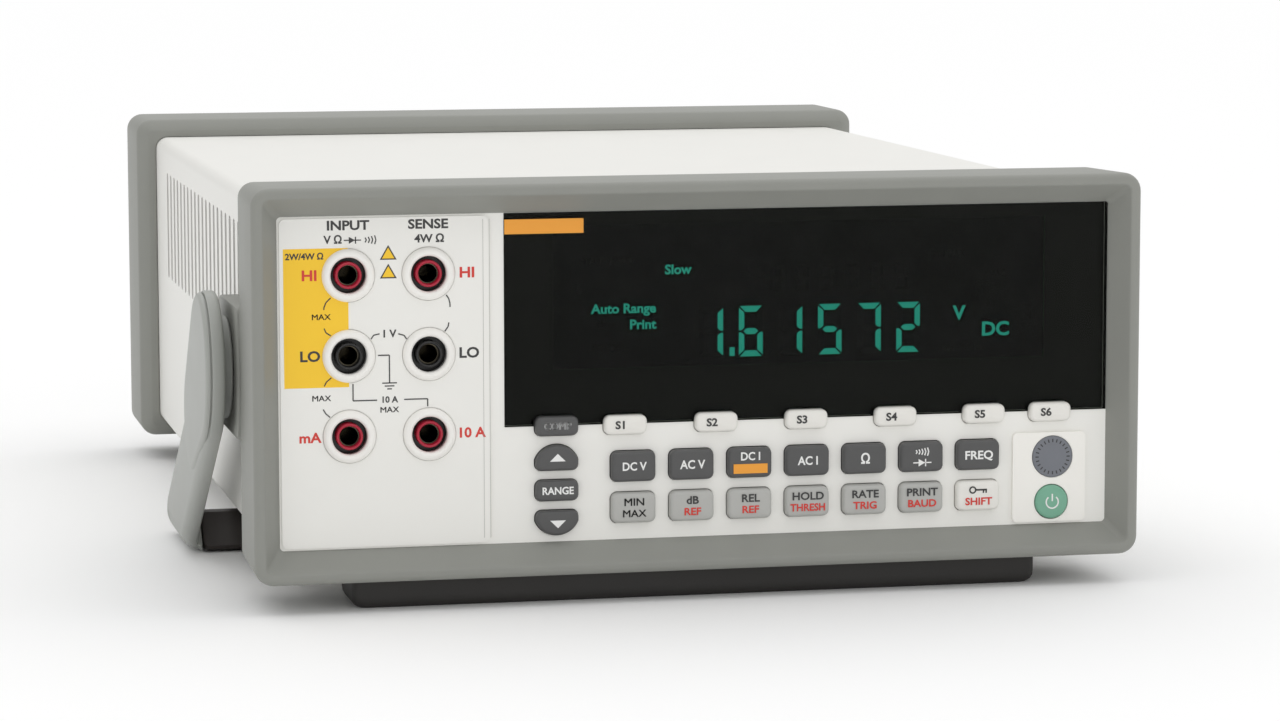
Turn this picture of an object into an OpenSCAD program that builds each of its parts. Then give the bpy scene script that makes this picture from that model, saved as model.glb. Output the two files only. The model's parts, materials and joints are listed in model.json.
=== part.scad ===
// Bench multimeter: half-rack case with rubbery bezels, keypad, display, banana jacks
// and a bail handle that folds under the case.
// The frame is centred on the case, +Z up, front towards -Y, and Z = 0 is the bench.

/* [Case] */
// Width over the front and rear bezels
bezel_width = 217; // [215:0.5:219]
// Height of the bezels
bezel_height = 93.5; // [93:0.5:95]
// Depth over both bezels
case_depth = 297; // [290:1:310]
// Depth of the front bezel
front_bezel_depth = 31; // [30:0.5:33]
// Depth of the rear bezel
rear_bezel_depth = 32; // [30:0.5:34]
// Width of the metal sleeve
sleeve_width = 206; // [205.5:0.1:206.2]
// Height of the metal sleeve
sleeve_height = 84; // [83.5:0.1:84.2]
// Wall of the metal sleeve
sleeve_wall = 1.2; // [1:0.1:1.5]
// Height of the feet
foot_height = 7.3; // [7.3:0.1:9]

/* [Vents] */
// Number of vent slots on each side
vent_count = 23; // [15:1:23]
// Distance from slot to slot
vent_pitch = 8.7; // [8:0.1:8.7]
// Width of a slot
vent_width = 3.7; // [2:0.1:4.5]
// Height of a slot
vent_height = 30; // [20:1:32]

/* [Panel] */
// Width of the panel opening in the front bezel
opening_width = 203.6; // [202:0.2:204]
// Height of the panel opening in the front bezel
opening_height = 78.9; // [78:0.1:79.2]
// Depth from the rim of the front bezel to the panel
panel_depth = 6; // [5.6:0.1:6.4]
// Thickness of the moulded panel
panel_thickness = 3; // [2.6:0.1:3.4]
// Distance between neighbouring banana jacks
jack_pitch = 19.05; // [18.8:0.05:19.3]
// Bore of a banana jack
jack_bore = 4; // [4:0.05:4.2]

/* [Keys] */
// Distance between function keys
key_pitch = 14.3; // [14:0.1:14.4]
// Width of a function key
key_width = 10.8; // [10:0.1:11.2]
// Height of a function key
key_height = 7.3; // [6.8:0.1:7.6]
// Width of a soft key
soft_width = 10.4; // [9.6:0.1:10.8]
// Height of a soft key
soft_height = 4.65; // [4.4:0.05:5]
// Travel of a key
key_travel = 1; // [0.6:0.1:1]
// Gap round a key in the panel
key_gap = 0.2; // [0.15:0.05:0.3]

/* [Handle] */
// Distance from the front rim to the handle's pivot
pivot_depth = 48; // [47:0.5:50]
// Height of the pivot over the bezel's bottom edge
pivot_height = 46.5; // [46:0.1:47]
// Radius of the pivot pins
pin_radius = 5; // [4.5:0.1:5.5]
// Radial running clearance of the pivot pins
pin_clearance = 0.05; // [0.03:0.01:0.1]
// Radius of the arm round its pivot
hub_radius = 18.7; // [18:0.1:19]

/* [Hidden] */
// Name, column and shade of each key, row by row
DARK_KEYS = ["key_dc_volts", "key_ac_volts", "key_dc_current", "key_ac_current",
             "key_ohms", "key_continuity", "key_frequency"];
LIGHT_KEYS = ["key_min_max", "key_decibel", "key_relative", "key_hold",
              "key_rate", "key_print", "key_shift"];
SOFT_KEYS = ["soft_key_1", "soft_key_2", "soft_key_3", "soft_key_4", "soft_key_5", "soft_key_6"];
SIDE_KEYS = ["key_compare", "key_up", "key_range", "key_down"];

$fn = 48;
eps = 0.01;

// Levels along Y, counted back from the front rim
panel_front = panel_depth;
panel_back = panel_depth + panel_thickness;
overlay_thickness = 0.5;
window_front = panel_depth - 0.2;
window_thickness = 2.4;
window_back = window_front + window_thickness;
key_front = panel_depth - 2.2;
flange_front = panel_back + 0.2;
flange_back = flange_front + 1;
membrane_front = flange_back + key_travel + 0.2;
membrane_thickness = 1.4;
board_front = 14.6;
board_thickness = 1.6;
rear_front = case_depth - rear_bezel_depth;
rear_panel_front = case_depth - 8;
rear_panel_back = rear_panel_front + 1.5;

// Heights, counted up from the bezel's bottom edge
opening_bottom = 7.4;
opening_centre = opening_bottom + opening_height / 2;
sleeve_bottom = 4.4;
sleeve_centre = sleeve_bottom + sleeve_height / 2;
first_vent = front_bezel_depth + 10.6;
vent_bottom = 50;

// Bezel details
bezel_corner = 4.5;
sleeve_corner = 3.5;
rim_width = 2.4;
boss_inner = sleeve_width / 2 + 0.2;
boss_outer = bezel_width / 2;
boss_half = 16;
boss_length = 36;

// Display
window_left = -47.9;
window_right = opening_width / 2 - 0.1;
window_bottom = 35.3;
window_ledge = 3;
window_top = opening_bottom + opening_height - 0.1;
tube_left = -35.8;
tube_right = 86.4;
tube_bottom = 48.3;
tube_top = 82.8;

// Terminals
terminal_right = -51.6;
jack_left = -85.1;
jack_middle = 53.3;
JACKS = [for (column = [0, 1]) for (row = [-1, 0, 1])
         [jack_left + column * jack_pitch, jack_middle - row * jack_pitch]];
RED_JACKS = [JACKS[0], JACKS[2], JACKS[3], JACKS[5]];
BLACK_JACKS = [JACKS[1], JACKS[4]];
collar_radius = 6.3;
collar_bore = 4.2;
insulator_radius = 3.2;
jack_hole = 4.5;
contact_radius = 2.6;
jack_length = 22;

// Keys
first_column = -16.9;
dark_row = 25.05;
light_row = 15.1;
soft_row = 35.1;
side_column = -35.5;
soft_first = -18.8;
soft_pitch = 22.3;
soft_last = 87.2;
key_corner = 1.6;
arch_radius = 5.6;
flange_margin = 0.6;
DARK = "#555555";
LIGHT = "#b2b2ae";
PALE = "#d7d5d0";
// The up and down keys are arched: 1 above, -1 below, and 0 is a plain rounded key
function side_key(name, z, height, arch) = [name, side_column, z, soft_width, height, DARK, arch];
KEYS = concat(
    [side_key(SIDE_KEYS[0], 35.3, 4.7, 0), side_key(SIDE_KEYS[1], 27.7, 6.2, 1),
     side_key(SIDE_KEYS[2], 19.8, 5, 0), side_key(SIDE_KEYS[3], 12, 6, -1)],
    [for (i = [0:5]) [SOFT_KEYS[i], i < 5 ? soft_first + i * soft_pitch : soft_last,
                      soft_row, soft_width, soft_height, PALE, 0]],
    [for (i = [0:6]) [DARK_KEYS[i], first_column + i * key_pitch,
                      dark_row, key_width, key_height, DARK, 0]],
    [for (i = [0:6]) [LIGHT_KEYS[i], first_column + i * key_pitch,
                      light_row, key_width, key_height, i < 6 ? LIGHT : PALE, 0]]);

// Power key, seal and the plate round them
surround_centre = [87.2, 19];
surround_size = [18.5, 22];
surround_thickness = 0.8;
power_centre = [87.8, 12.9];
power_radius = 4.15;
seal_centre = [88, 24];
seal_radius = 5.1;

// Handle
arm_inner = 111.2;
arm_outer = 116;
hub_inner = boss_outer + 0.2;
grip_bottom = 0.4 - foot_height;
grip_half = 109.7;
grip_reach = 70.8;
grip_top = 2.8;
heel_back = 131;
heel_front = 103;
heel_corner = 6;
hub_disc_radius = 12.5;
neck_centre = [44.3, 40.9];
neck_radius = 11.9;
pod_reach = [19.2, -14.4];
pod_radius = 14;
pod_rise = 0.5;
corner_round = 6;

// Rear panel fittings
inlet_centre = [66, 34];
inlet_size = [28, 20];
inlet_cavity = [23.6, 15.6];
inlet_depth = 17;
drawer_centre = inlet_centre + [0, 17.5];
drawer_height = 11;
drawer_length = 22;
switch_centre = [34, 38];
switch_size = [13, 19.5];
switch_tilt = 7;
port_centre = [-58, 36];
port_size = [17.6, 9];
ground_centre = [-86, 30];
stud_radius = 2.4;
screw_columns = [-96, 96];
screw_rows = [12, 80];
screw_radius = 1.5;
switch_pin = 1.5;
switch_axis = rear_panel_back - 3;

// Inside the case
hatch_size = [36, 34];
hatch_front = 44;
hatch_screw = [-72, 72];
tray_half = 98;
tray_wall = 1.2;
tray_front = 36;
tray_back = 280;
tray_level = sleeve_bottom + sleeve_wall + 0.4;
board_half = 92;
board_level = 20;
main_board_front = 40;
main_board_back = 268;
fuse_radius = 3.2;
fuse_length = 30;
fuse_spread = 7;

// Moves a shape drawn from the front rim and the bezel's bottom edge into the part's frame
module placed() translate([0, -case_depth / 2, foot_height]) children();

// Rounded rectangle centred on the origin
module rounded_rect(width, height, corner) {
    square([width - 2 * corner, height], center = true);
    square([width, height - 2 * corner], center = true);
    for (x = [-1, 1], y = [-1, 1])
        translate([x * (width / 2 - corner), y * (height / 2 - corner)]) circle(corner);
}

// Stands a flat outline in the XZ plane, and gives it a depth from y0 to y1
module facing(y0, y1) translate([0, y1, 0]) rotate([90, 0, 0]) linear_extrude(y1 - y0) children();

// Stands a flat outline in the YZ plane, and gives it a width from x0 to x1
module sideways(x0, x1)
    translate([x0, 0, 0]) rotate([90, 0, 90]) linear_extrude(x1 - x0) children();

// Box between two corners
module block(low, high) translate(low) cube(high - low);

// Rounded plate standing in the XZ plane
module plate(centre, size, corner, y0, y1)
    facing(y0, y1) translate(centre) rounded_rect(size[0], size[1], corner);

// Round bar along Y
module bar(centre, radius, y0, y1) facing(y0, y1) translate(centre) circle(radius);

// Both sides of the case
module mirrored() {
    children();
    mirror([1, 0, 0]) children();
}

// Opening that widens towards the front: four sloping sides with mitred corners
module bevelled_opening(back_y, front_y) {
    wide = bezel_width - 2 * rim_width;
    low = rim_width;
    high = bezel_height - rim_width;
    top = opening_bottom + opening_height;
    intersection() {
        linear_extrude(bezel_height) polygon([[-wide / 2, front_y], [wide / 2, front_y],
            [opening_width / 2, back_y], [-opening_width / 2, back_y]]);
        sideways(-bezel_width / 2, bezel_width / 2)
            polygon([[front_y, low], [back_y, opening_bottom], [back_y, top], [front_y, high]]);
    }
}

module front_bezel() color("#8c8d88") placed() difference() {
    union() {
        plate([0, bezel_height / 2], [bezel_width, bezel_height], bezel_corner,
              0, front_bezel_depth);
        mirrored() block([boss_inner, front_bezel_depth - 1, pivot_height - boss_half],
                         [boss_outer, front_bezel_depth + boss_length, pivot_height + boss_half]);
    }
    bevelled_opening(panel_front, 0);
    plate([0, sleeve_centre], [sleeve_width + 0.4, sleeve_height + 0.4], sleeve_corner,
          panel_front, front_bezel_depth + 1);
    plate([0, opening_centre], [opening_width, opening_height], 1, panel_front - 1, panel_front + 1);
    mirrored() translate([boss_inner - 1, pivot_depth, pivot_height])
        rotate([0, 90, 0]) cylinder(r = pin_radius + pin_clearance, h = boss_outer - boss_inner + 2);
}

module rear_bezel() color("#8c8d88") placed() difference() {
    plate([0, bezel_height / 2], [bezel_width, bezel_height], bezel_corner, rear_front, case_depth);
    plate([0, sleeve_centre], [sleeve_width + 0.4, sleeve_height + 0.4], sleeve_corner,
          rear_front - 1, rear_panel_back);
    plate([0, sleeve_centre], [opening_width, opening_height], 2, rear_panel_back - 1, case_depth + 1);
}

module case_sleeve() color("#eceae4") placed() difference() {
    sleeve_front = front_bezel_depth - 9;
    sleeve_back = rear_panel_front - 1;
    plate([0, sleeve_centre], [sleeve_width, sleeve_height], sleeve_corner - 0.2,
          sleeve_front, sleeve_back);
    plate([0, sleeve_centre], [sleeve_width - 2 * sleeve_wall, sleeve_height - 2 * sleeve_wall],
          sleeve_corner - sleeve_wall, sleeve_front - 1, sleeve_back + 1);
    for (i = [0:vent_count - 1]) translate([-sleeve_width, first_vent + i * vent_pitch, vent_bottom])
        cube([sleeve_width * 2, vent_width, vent_height]);
    fuse_hatch(key_gap, sleeve_bottom - 1, sleeve_bottom + sleeve_wall + eps);
}

// Outline of the hatch in the case's bottom that the current fuses are reached through
module fuse_hatch(gap, low, high)
    translate([hatch_screw[0] - hatch_size[0] / 2 - gap, hatch_front - gap, low])
        cube([hatch_size[0] + 2 * gap, hatch_size[1] + 2 * gap, high - low]);

module fuse_cover() color("#dedbd5") placed() difference() {
    fuse_hatch(0, sleeve_bottom, sleeve_bottom + sleeve_wall);
    hatch_screw_hole();
}

// Hole that the hatch's screw passes through
module hatch_screw_hole() translate([hatch_screw[0], hatch_screw[1], sleeve_bottom - 1])
    cylinder(r = screw_radius + 0.1, h = 6);

// Outline of a key, grown by a margin all round
module key_outline(key, margin, y0, y1) {
    height = key[4] + 2 * margin;
    facing(y0, y1) translate([key[1], key[2]]) intersection() {
        rounded_rect(key[3] + 2 * margin, height, key_corner + min(margin, key_gap));
        if (key[6] != 0) translate([0, key[6] * (height / 2 - arch_radius - margin)])
            circle(arch_radius + margin, $fn = 96);
        else square([4 * key[3], 4 * key[4]], center = true);
    }
}

module key_holes(y0, y1) {
    for (key = KEYS) key_outline(key, key_gap, y0, y1);
    bar(power_centre, power_radius + key_gap, y0, y1);
}

module window_outline(y0, y1, inset)
    block([window_left + inset, y0, window_bottom + inset],
          [window_right - inset, y1, window_top - inset]);

module front_panel() color("#dedcd7") placed() difference() {
    plate([0, sleeve_centre], [sleeve_width - 1, sleeve_height - 1], 2.5, panel_front, panel_back);
    window_outline(panel_front - 1, window_back + 0.05, -0.05);
    window_outline(panel_front - 1, panel_back + 1, window_ledge);
    key_holes(panel_front - 1, panel_back + 1);
    for (jack = JACKS) bar(jack, jack_hole, panel_front - 1, panel_back + 1);
}

module terminal_overlay() color("#dddbd6") placed() difference() {
    left = -opening_width / 2 + 0.5;
    width = terminal_right - left;
    plate([left + width / 2, opening_centre], [width, opening_height - 1], 1.5,
          panel_front - overlay_thickness, panel_front);
    for (jack = JACKS) bar(jack, collar_radius + 0.1, 0, panel_back);
}

module display_window() color("#14140f") placed() difference() {
    window_outline(window_front, window_back, 0);
    key_holes(window_front - 1, window_back + 1);
}

module display_tube() color("#08080a") placed() {
    block([tube_left, window_back + 0.4, tube_bottom], [tube_right, board_front - 0.2, tube_top]);
    translate([tube_right + 3, window_back + 3, tube_bottom + 4]) rotate([-90, 0, 0])
        translate([0, 0, -1]) cylinder(r = 1.5, h = 3);
    block([tube_right - 1, window_back + 1, tube_bottom + 2],
          [tube_right + 3, window_back + 4.5, tube_bottom + 6]);
}

module front_board() color("#2f6b3c") placed() {
    block([window_left + 1, board_front, 9], [98, board_front + board_thickness, 84]);
    block([-20, board_front + board_thickness - eps, 12], [30, board_front + 7, 17]);
}

module keypad_membrane() color("#77777a") placed() {
    block([-43, membrane_front + 0.8, 8.5], [97, membrane_front + 0.8 + membrane_thickness, 39]);
    for (key = KEYS) bar([key[1], key[2]], 2, membrane_front, membrane_front + 1);
    bar(power_centre, 2.4, membrane_front, membrane_front + 1);
}

module power_surround() color("#e4e2dd") placed() difference() {
    plate(surround_centre, surround_size, 1.2, panel_front - surround_thickness, panel_front);
    bar(power_centre, power_radius + key_gap, 0, panel_back);
    bar(seal_centre, seal_radius + 0.1, 0, panel_back);
}

module seal_plug() color("#73767d") placed()
    bar(seal_centre, seal_radius, panel_front - surround_thickness - 0.3, panel_front);

module power_key() color("#78af96") placed() {
    bar(power_centre, power_radius, key_front + 0.4, flange_back);
    bar(power_centre, power_radius + 0.8, flange_front, flange_back);
}

// One key cap with the flange that keeps it behind the panel
module key_cap(key) color(key[5]) placed() {
    key_outline(key, 0, key_front, flange_back);
    key_outline(key, flange_margin, flange_front, flange_back);
}

module jack_collars() color("#e2e0da") placed() for (jack = JACKS) difference() {
    bar(jack, collar_radius, panel_front - 1.9, panel_front);
    bar(jack, collar_bore, 0, panel_front + 1);
}

module jack_insulators(jacks) placed() for (jack = jacks) difference() {
    union() {
        bar(jack, insulator_radius, panel_front - 1.2, panel_front + jack_length);
        bar(jack, jack_hole - 0.1, panel_back - 0.8, panel_back);
        bar(jack, insulator_radius + 2, panel_back, panel_back + 2);
    }
    bar(jack, contact_radius, panel_front + 0.5, panel_front + jack_length + 1);
    bar(jack, contact_radius - 0.2, 0, panel_front + 1);
}

module jack_insulators_red() color("#b41e37") jack_insulators(RED_JACKS);

module jack_insulators_black() color("#222222") jack_insulators(BLACK_JACKS);

module jack_contacts() color("#b08d4a") placed() for (jack = JACKS) difference() {
    bar(jack, contact_radius, panel_front + 0.6, panel_front + jack_length + 4);
    bar(jack, jack_bore / 2, 0, panel_front + jack_length);
}

// Side outline of the grip: flat underside, and a front face curved about the pivot
module grip_outline() difference() {
    polygon([[heel_front - 12, grip_bottom], [heel_back - 8, grip_bottom],
             [heel_back - 8, grip_bottom + 5.4], [heel_front, grip_top], [heel_front - 12, grip_top]]);
    translate([pivot_depth, pivot_height]) circle(grip_reach, $fn = 120);
}

// Direction square to the common tangent of two circles, on the side to the left of a to b
function tangent_normal(a, b) = let (
    step = b[0] - a[0],
    turn = atan2(step[1], step[0]) + acos((a[1] - b[1]) / norm(step))
) [cos(turn), sin(turn)];

// Outline that wraps round a ring of circles, each [centre, radius], listed clockwise
module wrap(circles) {
    count = len(circles);
    overlap = 0.02;
    polygon([for (i = [0:count - 1]) let (
        here = circles[i],
        next = circles[(i + 1) % count],
        normal = tangent_normal(here, next)
    ) each [here[0] + (here[1] - overlap) * normal, next[0] + (next[1] - overlap) * normal]]);
    for (item = circles) translate(item[0]) circle(item[1], $fn = 96);
}

// Side outline of the raised pod round the pivot
module pod_outline() wrap([
    [[pivot_depth, pivot_height], hub_radius],
    [[pivot_depth, pivot_height] + pod_reach, pod_radius]]);

// Side outline of an arm, from the pivot to the heel that lies flat on the bench
module arm_outline() wrap([
    [neck_centre, neck_radius],
    [[heel_back - heel_corner, grip_bottom + heel_corner], heel_corner],
    [[heel_front - 2.5, grip_bottom + 3.5], 3.5]]);

// Rounds the outer lower corner of an arm
module arm_corner_cut() facing(pivot_depth, case_depth) difference() {
    translate([arm_outer - corner_round, grip_bottom - 1]) square(corner_round + 1);
    translate([arm_outer - corner_round, grip_bottom + corner_round]) circle(corner_round, $fn = 64);
}

// Right arm: the plate, the pod, the hub disc inside, and the corner that holds the grip
module handle_arm() difference() {
    union() {
        sideways(arm_inner, arm_outer - pod_rise) arm_outline();
        sideways(arm_inner, arm_outer) pod_outline();
        sideways(hub_inner, arm_inner + 0.5) translate([pivot_depth, pivot_height])
            circle(hub_disc_radius, $fn = 64);
        sideways(grip_half, arm_inner + 0.5) grip_outline();
    }
    arm_corner_cut();
}

module handle_arm_right() color("#a5a7a2") placed() handle_arm();

module handle_arm_left() color("#a5a7a2") placed() mirror([1, 0, 0]) handle_arm();

module handle_grip() color("#322d2a") placed() sideways(-grip_half, grip_half) grip_outline();

module handle_pivot_pins() color("#8a8a86") placed() mirrored()
    translate([boss_inner + 0.6, pivot_depth, pivot_height])
        rotate([0, 90, 0]) cylinder(r = pin_radius, h = hub_inner - boss_inner - 0.6);

module front_foot() color("#32302e") placed() {
    half = 84.5;
    corner = 3;
    facing(7, 27) {
        translate([-half + corner, -foot_height]) square([2 * (half - corner), foot_height]);
        translate([-half, corner - foot_height]) square([2 * half, foot_height - corner]);
        for (side = [-1, 1]) translate([side * (half - corner), corner - foot_height]) circle(corner);
    }
}

module rear_feet() color("#32302e") placed() mirrored()
    translate([76, case_depth - 18, -foot_height]) {
        cylinder(r = 8.5, h = foot_height, $fn = 64);
        translate([0, 0, foot_height - 2]) cylinder(r = 9.5, h = 2, $fn = 64);
    }

module rear_panel() color("#d9d7d1") placed() difference() {
    plate([0, sleeve_centre], [sleeve_width - 1, sleeve_height - 1], 2.5,
          rear_panel_front, rear_panel_back);
    plate(inlet_centre, inlet_size + [0.4, 0.4], 2, rear_panel_front - 1, case_depth);
    plate(drawer_centre, [inlet_size[0] + 0.4, drawer_height + 2.4], 1,
          rear_panel_front - 1, case_depth);
    plate(switch_centre, switch_size + [3.4, 3.4], 1, rear_panel_front - 1, case_depth);
    plate(port_centre, port_size + [0.6, 0.6], 3, rear_panel_front - 1, case_depth);
    bar(ground_centre, stud_radius + 0.2, rear_panel_front - 1, case_depth);
    for (x = screw_columns, z = screw_rows)
        bar([x, z], screw_radius + 0.3, rear_panel_front - 1, case_depth);
}

module mains_inlet() color("#1c1c1e") placed() {
    back = rear_panel_back;
    difference() {
        union() {
            plate(inlet_centre, inlet_size, 1.5, back - 20, back + 1.5);
            plate(inlet_centre, inlet_size + [3, 2.6], 1.5, back, back + 1.5);
        }
        plate(inlet_centre, inlet_cavity, 2.5, back - inlet_depth, back + 2);
    }
    for (x = [-7, 0, 7]) block([inlet_centre[0] + x - 1, back - 19, inlet_centre[1] - 3 - abs(x) / 14],
                               [inlet_centre[0] + x + 1, back - 2.5, inlet_centre[1] + 1 - abs(x) / 14]);
    difference() {
        plate(drawer_centre, [inlet_size[0], drawer_height + 2], 0.8,
              back - drawer_length - 2, back + 1.5);
        plate(drawer_centre, [inlet_size[0] - 3, drawer_height], 0.6,
              back - drawer_length - 0.5, back + 2);
    }
}

module fuse_drawer() color("#2b2b2e") placed() {
    back = rear_panel_back;
    plate(drawer_centre, [inlet_size[0] - 3.2, drawer_height - 0.2], 0.6,
          back - drawer_length, back + 1.2);
    plate(drawer_centre - [0, 2.4], [10, 1.4], 0.4, back + 1, back + 2.6);
}

// Rocker, tilted to its resting side about the two short pins
module rear_power_switch() color("#1f1f21") placed()
    translate([switch_centre[0], switch_axis, switch_centre[1]]) rotate([switch_tilt, 0, 0]) {
        sideways(-switch_size[0] / 2, switch_size[0] / 2)
            polygon([[-4, -6.5], [3.2, -8.8], [4.6, -8.8], [3.4, 0], [4.6, 8.8], [3.2, 8.8], [-4, 6.5]]);
        sideways(-switch_size[0] / 2 - 1, switch_size[0] / 2 + 1) circle(switch_pin);
    }

module switch_housing() color("#1c1c1e") placed() difference() {
    union() {
        plate(switch_centre, switch_size + [3, 3], 0.8, switch_axis - 9, rear_panel_back + 1);
        plate(switch_centre, switch_size + [5.6, 5.6], 1.2, rear_panel_back, rear_panel_back + 1);
    }
    plate(switch_centre, switch_size + [0.4, 0.4], 0.4, switch_axis - 7.5, rear_panel_back + 2);
    translate([switch_centre[0] - switch_size[0], switch_axis, switch_centre[1]])
        rotate([0, 90, 0]) cylinder(r = switch_pin + pin_clearance, h = 2 * switch_size[0]);
}

module serial_port() color("#b9babd") placed() {
    back = rear_panel_back;
    difference() {
        plate(port_centre, port_size, 3, back - 8, back + 5);
        plate(port_centre, port_size - [1.6, 1.6], 2.4, back - 5, back + 6);
    }
    for (row = [0, 1], i = [0:4 - row])
        bar(port_centre + [(i - 2 + row / 2) * 2.77, 1.4 - row * 2.84], 0.5, back - 6, back + 4);
    plate(port_centre, [30.8, 12.5], 1, back, back + 1);
    for (side = [-1, 1]) bar(port_centre + [side * 12.5, 0], 2.4, back, back + 5);
}

module ground_terminal() color("#c0a468") placed() {
    bar(ground_centre, stud_radius, rear_panel_front - 6, rear_panel_back + 5.5);
    bar(ground_centre, 4.2, rear_panel_back, rear_panel_back + 1.6);
    bar(ground_centre, 3.4, rear_panel_back + 3, rear_panel_back + 5.5);
}

module chassis_tray() color("#b4b6b8") placed() {
    difference() {
        block([-tray_half, tray_front, tray_level], [tray_half, tray_back, tray_level + tray_wall]);
        block([hatch_screw[0] - fuse_spread - 6, hatch_front + 2, tray_level - 1],
              [hatch_screw[0] + fuse_spread + 6, hatch_screw[1] - 4, tray_level + tray_wall + 1]);
        hatch_screw_hole();
    }
    mirrored() block([tray_half - tray_wall, tray_front, tray_level],
                     [tray_half, tray_back, tray_level + 22]);
}

module main_board() color("#2f6b3c") placed() {
    block([-board_half, main_board_front, board_level],
          [board_half, main_board_back, board_level + board_thickness]);
    standoff_bottom = tray_level + tray_wall;
    for (x = [6 - board_half, 0, board_half - 6], y = [main_board_front + 8, main_board_back - 10])
        translate([x, y, standoff_bottom]) cylinder(r = 3, h = board_level - standoff_bottom + eps);
}

module mains_transformer() color("#c8a24a") placed() {
    block([34, 196, board_level + board_thickness], [88, 244, board_level + 44]);
    block([40, 188, board_level + 8], [82, 252, board_level + 38]);
}

module input_shield() color("#aeb1b4") placed() difference() {
    block([-88, 48, board_level + board_thickness], [-10, 150, board_level + 32]);
    block([-87, 49, board_level], [-11, 149, board_level + 31]);
}

module current_fuses() color("#c9c9c4") placed() for (side = [-1, 1])
    translate([hatch_screw[0] + side * fuse_spread, hatch_front + 2, board_level - 6])
        rotate([-90, 0, 0]) cylinder(r = fuse_radius, h = fuse_length);

module case_screws() color("#9a9ca0") placed() {
    for (x = screw_columns, z = screw_rows) {
        bar([x, z], screw_radius, rear_panel_front - 6, rear_panel_back);
        bar([x, z], 2 * screw_radius, rear_panel_back, rear_panel_back + 1.6);
    }
    translate([hatch_screw[0], hatch_screw[1], sleeve_bottom - 0.8]) {
        cylinder(r = 2.6, h = 0.8);
        cylinder(r = screw_radius, h = 5);
    }
}

front_bezel();
rear_bezel();
case_sleeve();
front_panel();
terminal_overlay();
display_window();
display_tube();
front_board();
keypad_membrane();
power_surround();
seal_plug();
power_key();
jack_collars();
jack_insulators_red();
jack_insulators_black();
jack_contacts();
handle_arm_left();
handle_arm_right();
handle_grip();
handle_pivot_pins();
front_foot();
rear_feet();
rear_panel();
mains_inlet();
rear_power_switch();
switch_housing();
fuse_drawer();
serial_port();
ground_terminal();
chassis_tray();
main_board();
mains_transformer();
input_shield();
current_fuses();
fuse_cover();
case_screws();
for (key = KEYS) key_cap(key);
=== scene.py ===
"""Looks of a bench multimeter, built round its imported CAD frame.

Places are given in millimetres from the front bezel: x to the right of the middle, y back from its
front rim, z up from its bottom edge. spot() turns them into the frame's metres.
"""

import json
import math

import bmesh
import bpy
from mathutils import Matrix, Vector


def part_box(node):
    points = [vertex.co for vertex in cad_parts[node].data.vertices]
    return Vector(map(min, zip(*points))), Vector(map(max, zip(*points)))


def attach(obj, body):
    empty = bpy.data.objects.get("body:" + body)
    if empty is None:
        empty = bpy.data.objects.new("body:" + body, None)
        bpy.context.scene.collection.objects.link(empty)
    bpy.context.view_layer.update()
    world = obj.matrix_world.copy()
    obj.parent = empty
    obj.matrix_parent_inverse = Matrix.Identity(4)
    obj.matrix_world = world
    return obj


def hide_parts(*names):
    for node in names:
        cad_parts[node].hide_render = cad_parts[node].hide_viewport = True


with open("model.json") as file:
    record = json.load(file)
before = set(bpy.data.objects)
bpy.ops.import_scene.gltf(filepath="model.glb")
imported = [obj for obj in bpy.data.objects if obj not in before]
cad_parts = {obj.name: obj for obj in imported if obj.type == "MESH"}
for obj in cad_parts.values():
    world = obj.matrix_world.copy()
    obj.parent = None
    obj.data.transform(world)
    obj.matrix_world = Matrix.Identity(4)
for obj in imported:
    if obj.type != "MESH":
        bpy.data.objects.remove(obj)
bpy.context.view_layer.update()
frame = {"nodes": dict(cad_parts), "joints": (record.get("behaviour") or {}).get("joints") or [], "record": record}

MM = 0.001
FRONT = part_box("front_bezel")[0].y / MM
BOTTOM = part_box("front_bezel")[0].z / MM


def spot(x, y, z):
    return Vector((x, y + FRONT, z + BOTTOM)) * MM


def from_row(place):
    """A place in the frame's metres, as millimetres from the bezel."""
    return Vector(place) / MM - Vector((0, FRONT, BOTTOM))


def node_box(name):
    """Lowest and highest corner of a CAD node, in millimetres from the bezel."""
    low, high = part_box(name)
    return from_row(low), from_row(high)


def face_middle(low, high):
    """Middle of a box as the front sees it: x and z."""
    return (low.x + high.x) / 2, (low.z + high.z) / 2


# -------------------- materials

# Sockets of a Mix node that mixes colours.
MIX_FACTOR, MIX_FIRST, MIX_SECOND, MIX_RESULT = 0, 6, 7, 2
# How far roughness wanders either side of its middle value.
ROUGH_SPREAD = 0.06
SMOOTHEST = 0.02


def shade(color, factor):
    return tuple(min(1.0, c * factor) for c in color[:3]) + (1.0,)


def noise(tree, vector, size, detail=2):
    """Noise whose features are about size millimetres across."""
    texture = tree.nodes.new("ShaderNodeTexNoise")
    texture.inputs["Scale"].default_value = 1 / (size * MM)
    texture.inputs["Detail"].default_value = detail
    tree.links.new(vector, texture.inputs["Vector"])
    return texture.outputs["Fac"]


def color_mix(tree, factor, first, second):
    """Colour that goes from first to second as the factor goes from 0 to 1."""
    mix = tree.nodes.new("ShaderNodeMix")
    mix.data_type = "RGBA"
    mix.inputs[MIX_FIRST].default_value = first
    mix.inputs[MIX_SECOND].default_value = second
    tree.links.new(factor, mix.inputs[MIX_FACTOR])
    return mix.outputs[MIX_RESULT]


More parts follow.
